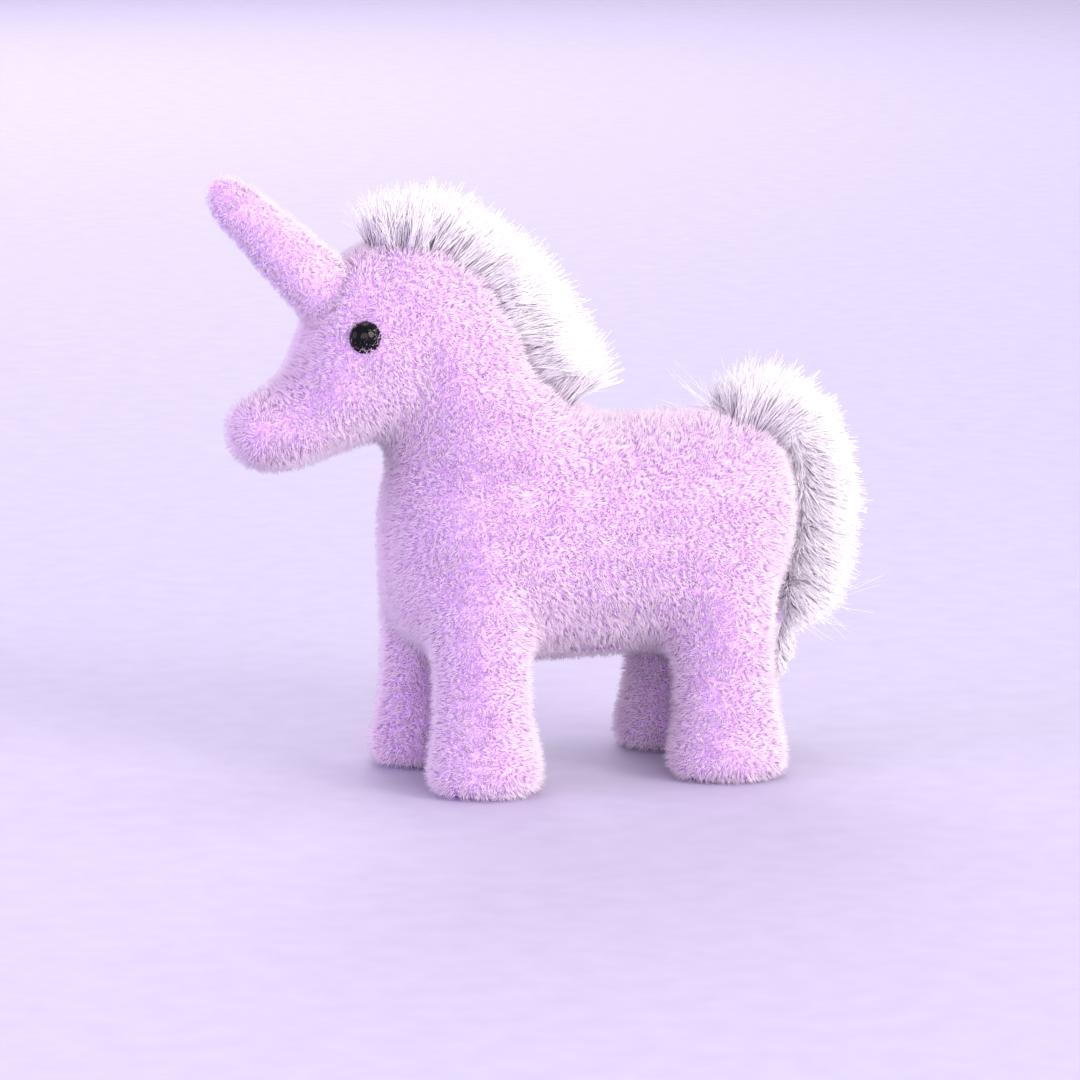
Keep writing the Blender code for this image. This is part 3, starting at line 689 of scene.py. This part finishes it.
def add_covers(skin, backing):
    """Cuts the skin into the torso, head and leg covers, each closed where it was cut."""
    down, floor = Vector((0, 0, -1)), Vector((0, 0, LEG_CUT * MM))
    torso = cut_off(skin.data, [(floor, -down), (HEAD_PLANE, -NECK_AXIS)], "torso_cover")
    head = cut_off(skin.data, [(floor, -down), (HEAD_PLANE, NECK_AXIS)], "head_cover")
    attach(give(torso, backing), "torso")
    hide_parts("left_body_cover", "right_body_cover", "belly_gusset", "body_stuffing")
    joined_to_neck(give(head, backing))
    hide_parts("left_head_cover", "right_head_cover", "head_gusset", "head_stuffing")
    middle = spot(0, 0, 0)
    for end, side in LEGS:
        lengthwise = Vector((-1 if end == "front" else 1, 0, 0))
        sideways = Vector((0, -1 if side == "left" else 1, 0))
        name = f"{side}_{end}_leg"
        planes = [(floor, down), (middle, lengthwise), (middle, sideways)]
        cover = cut_off(skin.data, planes, name + "_cover_pad")
        joined_to_hip(give(cover, backing))
        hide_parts(name + "_cover", name + "_stuffing")


def tufts(places, size):
    """Which tuft each hair belongs to, and the middle of each tuft."""
    warped = places + 0.6 * size * drift(places, 2.5 * size, 23)
    cells = np.floor(warped / size).astype(int)
    _, member = np.unique(cells, axis=0, return_inverse=True)
    member = member.ravel()
    count = np.bincount(member)
    middles = np.stack([np.bincount(member, places[:, axis]) / count for axis in range(3)], axis=1)
    return member, middles


def pile_on(name, roots, headings, places, lengths, rng, material):
    """Short pile that gathers into tiny tufts, each leaning its own way."""
    member, middles = tufts(places, TUFT)
    own_lean = rng.normal(size=middles.shape) * TUFT_LEAN
    own_shade = rng.normal(size=len(middles))
    lie = np.array(PILE_LIE) + PILE_SWIRL * drift(places, PILE_SWIRL_SIZE, 11)
    heads = unit(headings + lie + own_lean[member] + HAIR_LEAN * rng.normal(size=roots.shape))
    count = len(roots)
    grown = lengths * (0.76 + 0.42 * rng.random(count)) * MM
    widths = PILE_WIDTH * (0.75 + 0.5 * rng.random(count)) * MM
    gather = (middles[member] - places) * TUFT_GATHER * MM
    shades = np.clip(0.6 + 0.14 * rng.normal(size=count) + 0.12 * own_shade[member], 0.02, 0.98)
    obj = hairs(name, roots - headings * PILE_ROOTED * MM, heads, gather, grown, widths, shades)
    give(obj, material)
    return obj


def add_body_pile(skin, pile, rng):
    roots, headings = sown(skin.data, PILE_PER_MM2, rng)
    places = in_mm(roots)
    on_mane, on_dock = mane_share(places, headings)
    near_eye = np.zeros(len(roots), bool)
    for side in ("left", "right"):
        eye = np.array(box_middle(side + "_eye"))
        away = np.hypot(roots[:, 0] - eye[0], roots[:, 2] - eye[2])
        same_side = np.sign(roots[:, 1]) == np.sign(eye[1])
        near_eye |= (away < EYE_CLEAR * MM) & same_side
    under_foot = (places[:, 2] < UNDER_FOOT) & (headings[:, 2] < -0.8)
    kept = ~(on_mane | on_dock | near_eye | under_foot)
    above_neck = (roots - np.array(HEAD_PLANE)) @ np.array(NECK_AXIS) > 0
    in_leg = places[:, 2] < LEG_CUT
    lengths = np.full(len(roots), PILE)
    groups = {
        "torso_pile_left": kept & ~above_neck & ~in_leg & (places[:, 1] < 0),
        "torso_pile_right": kept & ~above_neck & ~in_leg & (places[:, 1] >= 0),
        "head_pile": kept & above_neck & ~in_leg,
    }
    for name, chosen in groups.items():
        obj = pile_on(name, roots[chosen], headings[chosen], places[chosen], lengths[chosen], rng, pile)
        if name == "head_pile":
            joined_to_neck(obj)
        else:
            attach(obj, "torso")
    for end, side in LEGS:
        right = (places[:, 1] > 0) == (side == "right")
        hind = (places[:, 0] > 0) == (end == "hind")
        chosen = kept & in_leg & right & hind
        name = f"{side}_{end}_leg_pile"
        obj = pile_on(name, roots[chosen], headings[chosen], places[chosen], lengths[chosen], rng, pile)
        joined_to_hip(obj)


def long_hairs(name, roots, headings, lean, lengths, clumps, rng, material):
    """Long pile in a sewn strip: it stands up like a brush and gathers into small locks."""
    headings = unit(headings * np.array([1.0, STRIP_SPREAD, 1.0]))
    centres = roots[rng.choice(len(roots), clumps, replace=False)]
    nearest = np.empty(len(roots), int)
    for start in range(0, len(roots), 2000):
        block = roots[start : start + 2000]
        nearest[start : start + 2000] = np.argmin(((block[:, None] - centres[None]) ** 2).sum(axis=2), axis=1)
    wander = rng.normal(size=(clumps, 3)) * LOCK_LEAN
    heads = unit(headings + lean + wander[nearest] + LONG_HAIR_LEAN * rng.normal(size=roots.shape))
    count = len(roots)
    lock_length = 0.90 + 0.2 * rng.random(clumps)
    grown = lengths * lock_length[nearest] * (0.86 + 0.16 * rng.random(count)) * MM
    pull = (centres[nearest] - roots) * LOCK_GATHER
    bends = pull + LONG_HAIR_BEND * grown[:, None] * rng.normal(size=roots.shape) + np.array(LONG_DROOP) * MM
    widths = LONG_WIDTH * (0.75 + 0.5 * rng.random(count)) * MM
    shades = np.clip(0.6 + 0.25 * rng.normal(size=count), 0.02, 0.98)
    obj = hairs(name, roots - headings * LONG_ROOTED * MM, heads, bends, grown, widths, shades, rings=3)
    give(obj, material)
    return obj


def add_mane(skin, white, rng):
    roots, headings = sown(skin.data, LONG_PER_MM2, rng)
    places = in_mm(roots)
    on_mane, on_dock = mane_share(places, headings)
    x = places[:, 0]
    at_side = np.clip(np.abs(places[:, 1]) / MANE_HALF_WIDTH, 0, 1)
    lengths = 4.5 - 0.2 * np.clip((-13.5 - x) / 3, 0, 1) + 0.9 * np.clip((x + 10) / 4, 0, 1)
    lengths *= 1 - 0.25 * at_side**2
    for name, chosen in (
        ("mane_left", on_mane & (places[:, 1] < 0)),
        ("mane_right", on_mane & (places[:, 1] >= 0)),
    ):
        y = places[chosen, 1]
        at_end = np.clip((places[chosen, 0] + 5) / 4, 0, 1)
        lean = np.stack([0.10 - 0.25 * at_end, 0.05 * y, 0.20 * at_end - 0.06], axis=1)
        obj = long_hairs(name, roots[chosen], headings[chosen], lean, lengths[chosen], MANE_LOCKS, rng, white)
        joined_to_neck(obj)
        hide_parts("neck_mane", "head_mane")
    rise = np.clip(5.6 - 0.9 * np.abs(x - 14.9), 2.8, 5.6)
    lean = np.stack([0.10 * (x - 14.0), 0.10 * places[:, 1], np.full_like(x, 0.3)], axis=1)
    front_of_tuft = (np.abs(x - 12.6) < 0.8) & (np.abs(places[:, 1]) < 2) & (places[:, 2] > 27)
    add_stray_hairs("tuft_stray_hairs", "torso", roots, front_of_tuft, (-0.75, 0, 0.62), 26, white, rng)
    there, facing = roots[on_dock], headings[on_dock]
    tuft = long_hairs("tail_tuft_pile", there, facing, lean[on_dock], rise[on_dock], TUFT_LOCKS, rng, white)
    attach(tuft, "torso")
    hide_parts("tail_tuft")


def add_stray_hairs(name, body, roots, near, heading, count, white, rng):
    """A few fine hairs that have worked loose from the long pile."""
    chosen = roots[rng.choice(np.flatnonzero(near), count, replace=False)]
    heads = unit(np.array(heading) + 0.25 * rng.normal(size=(count, 3)))
    lengths = (3.4 + 2.2 * rng.random(count)) * MM
    bends = 0.25 * lengths[:, None] * rng.normal(size=(count, 3))
    widths = np.full(count, STRAY_WIDTH * MM)
    obj = hairs(name, chosen, heads, bends, lengths, widths, np.full(count, 0.7), rings=4)
    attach(give(obj, white), body)


def add_tail(backing, white, rng):
    """The tail: a narrow strip of backing that hangs from the dock, with long pile all round it."""
    bm = bmesh.new()
    rows = curve_through(TAIL, 4)
    sections = []
    for x, z, deep, wide in rows:
        sections.append((spot(x, 0, z), Vector((deep * MM, 0, 0)), Vector((0, wide * MM, 0))))
    lofted(bm, sections, sides=16)
    core = to_object(bm, "tail_backing")
    core.data.shade_smooth()
    finer = core.modifiers.new("Rounded", "SUBSURF")
    finer.levels = finer.render_levels = 1
    with_modifiers_applied(core)
    roots, headings = sown(core.data, LONG_PER_MM2 * TAIL_DENSITY, rng)
    places = in_mm(roots)
    inward = np.clip(-headings[:, 0], 0, 1)
    low = np.clip((14.0 - places[:, 2]) / 2.5, 0, 1)
    lengths = 3.6 - 2.2 * inward - 2.4 * low
    lean = np.stack([0.72 - 0.42 * low, 0.13 * places[:, 1], -0.22 - 0.7 * low], axis=1)
    swept = headings * np.array([0.45, 1.0, 0.6])
    foot_of_tail = (np.abs(places[:, 2] - 13.0) < 1.2) & (headings[:, 0] > 0.3)
    add_stray_hairs("tail_stray_hairs", "tail", roots, foot_of_tail, (0.95, 0, -0.35), 44, white, rng)
    upper = places[:, 2] + 0.8 * np.sin(places[:, 1] * 2.3) > TAIL_SPLIT
    for name, chosen in (("tail_pile_upper", upper), ("tail_pile_lower", ~upper)):
        hair = long_hairs(
            name, roots[chosen], swept[chosen], lean[chosen], lengths[chosen], TAIL_LOCKS, rng, white
        )
        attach(hair, "tail")
        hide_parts("tail_lock")
    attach(give(core, backing), "tail")


def add_horn(backing, pile, thread, rng):
    """The horn: a small stuffed cone in the same plush, its pile clipped shorter."""
    axis = horn_axis()
    across = Vector((0, 1, 0)).cross(axis).normalized()
    across *= -1 if across.z > 0 else 1
    add_horn_stitches(axis, across, thread)
    bm = bmesh.new()
    sections = []
    for way, radius in curve_through(HORN, 4):
        inner = max(radius - HORN_PILE_DEPTH, 0.12) * MM
        middle = HORN_PIVOT + axis * (way - (HORN_PILE_DEPTH if way > HORN_TIP_FROM else 0)) * MM
        sections.append((middle, across * inner, Vector((0, inner, 0))))
    lofted(bm, sections, sides=24)
    cover = to_object(bm, "horn_cover_pad")
    cover.data.shade_smooth()
    roots, headings = sown(cover.data, PILE_PER_MM2 * HORN_DENSER, rng)
    places = in_mm(roots)
    way = (roots - np.array(HORN_PIVOT)) @ np.array(axis) / MM
    kept = way > HORN_PILE_FROM
    lengths = np.full(len(roots), HORN_PILE)
    hair = pile_on("horn_pile", roots[kept], headings[kept], places[kept], lengths[kept], rng, pile)
    for obj in (give(cover, backing), hair):
        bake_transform(obj)
    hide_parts("horn_cover", "horn_stuffing")


def add_horn_stitches(axis, across, thread):
    """Whip stitches that close the horn's cover along its underside."""
    rows = curve_through(HORN, 4)
    bm = bmesh.new()
    for number in range(HORN_STITCHES):
        way = HORN_STITCH_FROM + number * HORN_STITCH_STEP
        radius = np.interp(way, rows[:, 0], rows[:, 1]) - HORN_PILE_DEPTH + HORN_STITCH_OUT
        place = HORN_PIVOT + (axis * way + across * radius) * MM
        turned = Matrix((axis, across, Vector((0, 1, 0)))).transposed().to_4x4()
        placed = Matrix.Translation(place) @ turned @ Matrix.Diagonal(HORN_STITCH_FORM)
        bmesh.ops.create_uvsphere(
            bm, u_segments=12, v_segments=8, radius=HORN_STITCH_RADIUS * MM, matrix=placed
        )
    stitches = to_object(bm, "horn_stitches")
    stitches.data.shade_smooth()
    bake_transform(give(stitches, thread))


def horn_axis():
    """From the horn's foot to its tip."""
    return Vector((-cos(radians(HORN_RISE)), 0, sin(radians(HORN_RISE))))


def add_eyes(glass):
    for side in ("left", "right"):
        low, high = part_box(side + "_eye")
        outward = -1 if side == "left" else 1
        radius = (high.x - low.x) / 2
        outermost = (low.y if side == "left" else high.y) - outward * EYE_SUNK * MM
        bm = bmesh.new()
        bmesh.ops.create_uvsphere(bm, u_segments=40, v_segments=24, radius=radius)
        bmesh.ops.scale(bm, vec=(1, EYE_FLAT, 1), verts=bm.verts)
        y = outermost - outward * (EYE_FLAT * radius + EYE_OUT * MM)
        middle = Vector(((low.x + high.x) / 2, y, (low.z + high.z) / 2))
        bmesh.ops.translate(bm, vec=middle, verts=bm.verts)
        bead = to_object(bm, side + "_eye_bead")
        bead.data.shade_smooth()
        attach(give(bead, glass), "head")
        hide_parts(side + "_eye")


def add_soles(felt):
    """A felted pad under each foot, with its edge turned in."""
    for end, side in LEGS:
        name = f"{side}_{end}_sole"
        low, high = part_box(name)
        middle = (low + high) / 2
        bm = bmesh.new()
        along, across = Vector((high.x - low.x, 0, 0)) / 2 * 1.02, Vector((0, high.y - low.y, 0)) / 2 * 1.02
        sections = []
        for z, share in ((0.05, 0.90), (0.12, 0.98), (0.3, 1.0), (0.6, 1.0), (0.9, 0.95)):
            sections.append((Vector((middle.x, middle.y, z * MM)), along * share, across * share))
        lofted(bm, sections, sides=40)
        pad = to_object(bm, name + "_pad")
        pad.data.shade_smooth()
        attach(give(pad, felt), f"{side}_{end}_leg")
        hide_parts(name)


def lowest_under(mesh, middle):
    """Height of the underside of a skin near a point."""
    places = points_of(mesh)
    near = np.hypot(places[:, 0] - middle.x, places[:, 1] - middle.y) < 1.5 * MM
    return float(places[near, 2].min())


def add_closing_stitches(height, thread):
    """The ladder of small stitches that closes the belly once the filling is in."""
    low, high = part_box("closing_stitches")
    bm = bmesh.new()
    for number in range(BELLY_STITCHES):
        x = low.x + (high.x - low.x) * (number + 0.5) / BELLY_STITCHES
        placed = Matrix.Translation((x, (low.y + high.y) / 2, height)) @ Matrix.Diagonal(BELLY_STITCH_FORM)
        bmesh.ops.create_uvsphere(
            bm, u_segments=12, v_segments=8, radius=BELLY_STITCH_RADIUS * MM, matrix=placed
        )
    stitches = to_object(bm, "belly_stitches")
    stitches.data.shade_smooth()
    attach(give(stitches, thread), "torso")
    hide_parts("closing_stitches")


# ---- setting -------------------------------------------------------------------------
def add_floor():
    bm = bmesh.new()
    bmesh.ops.create_grid(bm, x_segments=1, y_segments=1, size=4.0)
    floor = to_object(bm, "floor")
    made, tree, shader = new_material("painted_board", Roughness=0.75)
    place = add_node(tree, "ShaderNodeTexCoord")
    # Matt painted board: a very slight change of tone, about 3 mm across
    grain = add_node(
        tree, "ShaderNodeTexNoise", {"Vector": place.outputs["Object"]}, Scale=1 / (3 * MM), Detail=5.0
    )
    shown = add_node(tree, "ShaderNodeValToRGB", {"Fac": grain.outputs["Fac"]})
    tint = ramp(shown, [(0.3, "#bbb6cb"), (0.7, "#c1bcd1")])
    tree.links.new(tint.outputs["Color"], shader.inputs["Base Color"])
    give(floor, made)


def add_light(name, place, aim, size, power, tint):
    lamp = bpy.data.lights.new(name, "AREA")
    lamp.shape = "DISK"
    lamp.size = size
    lamp.energy = power
    lamp.color = colour(tint)[:3]
    obj = bpy.data.objects.new(name, lamp)
    bpy.context.scene.collection.objects.link(obj)
    obj.location = place
    obj.rotation_euler = (aim - place).to_track_quat("-Z", "Y").to_euler()


def add_lights():
    aim = spot(0, 0, 22)
    add_light("window", aim + Vector((0.38, -0.62, 0.22)), aim, 0.42, 5.0, "#fff7f5")
    add_light("reflector", aim + Vector((-0.12, -0.80, 0.10)), aim, 0.60, 3.4, "#fdf6fc")
    add_light("ceiling", aim + Vector((0.08, 0.05, 0.60)), aim, 0.40, 0.8, "#fbf7ff")
    add_light("wall_bounce", aim + Vector((-0.55, -0.10, 0.12)), aim, 0.45, 1.8, "#e0c4ff")
    add_light("far_window", aim + Vector((0.10, 0.65, 0.35)), aim, 0.50, 2.2, "#f8f2ff")
    world = bpy.data.worlds.new("room")
    bpy.context.scene.world = world
    world.use_nodes = True
    world.node_tree.nodes["Background"].inputs["Color"].default_value = colour("#ece4f3")
    world.node_tree.nodes["Background"].inputs["Strength"].default_value = 0.88


def add_camera():
    """A long lens just above the toy's back, a little to the head's side of square on."""
    around, above, distance, frame_width = radians(-19), radians(9.7), 500, 86.4
    right = Vector((cos(around), sin(around), 0))
    back = Vector((sin(around) * cos(above), -cos(around) * cos(above), sin(above)))
    up = back.cross(right)
    aim = spot(0, 0, 25) - 3.36 * MM * right - 6.24 * MM * up
    lens = bpy.data.cameras.new("camera")
    lens.sensor_width = 36
    lens.lens = 18 / (frame_width / 2 / distance)
    lens.clip_start, lens.clip_end = 0.01, 20
    camera = bpy.data.objects.new("camera", lens)
    bpy.context.scene.collection.objects.link(camera)
    turned = Matrix((right, up, back)).transposed().to_4x4()
    camera.matrix_world = Matrix.Translation(aim + back * distance * MM) @ turned
    bpy.context.scene.camera = camera


def main():
    rng = np.random.default_rng(7)
    bpy.context.scene.view_settings.view_transform = "Standard"
    add_camera()
    add_lights()
    add_floor()
    lilac_backing = knitted_backing("knitted_backing", "#e8c6f1", "#cda2e2")
    white_backing = knitted_backing("undyed_backing", "#f3eef7", "#cdbfe0")
    felt = knitted_backing("brushed_sole_cloth", "#d4a7e6", "#9a68bd")
    thread = spun_thread("spun_thread", "#dcbcec", "#b48bd2")
    lilac, white, glass = acrylic_pile(), long_acrylic_pile(), black_glass()
    skin = body_form()
    add_covers(skin, lilac_backing)
    add_body_pile(skin, lilac, rng)
    add_mane(skin, white, rng)
    skin_belly = lowest_under(skin.data, box_middle("closing_stitches"))
    bpy.data.objects.remove(skin)
    add_tail(white_backing, white, rng)
    add_horn(lilac_backing, lilac, thread, rng)
    add_eyes(glass)
    add_soles(felt)
    add_closing_stitches(skin_belly, thread)
    give(frame["nodes"]["eye_thread"], thread)


main()
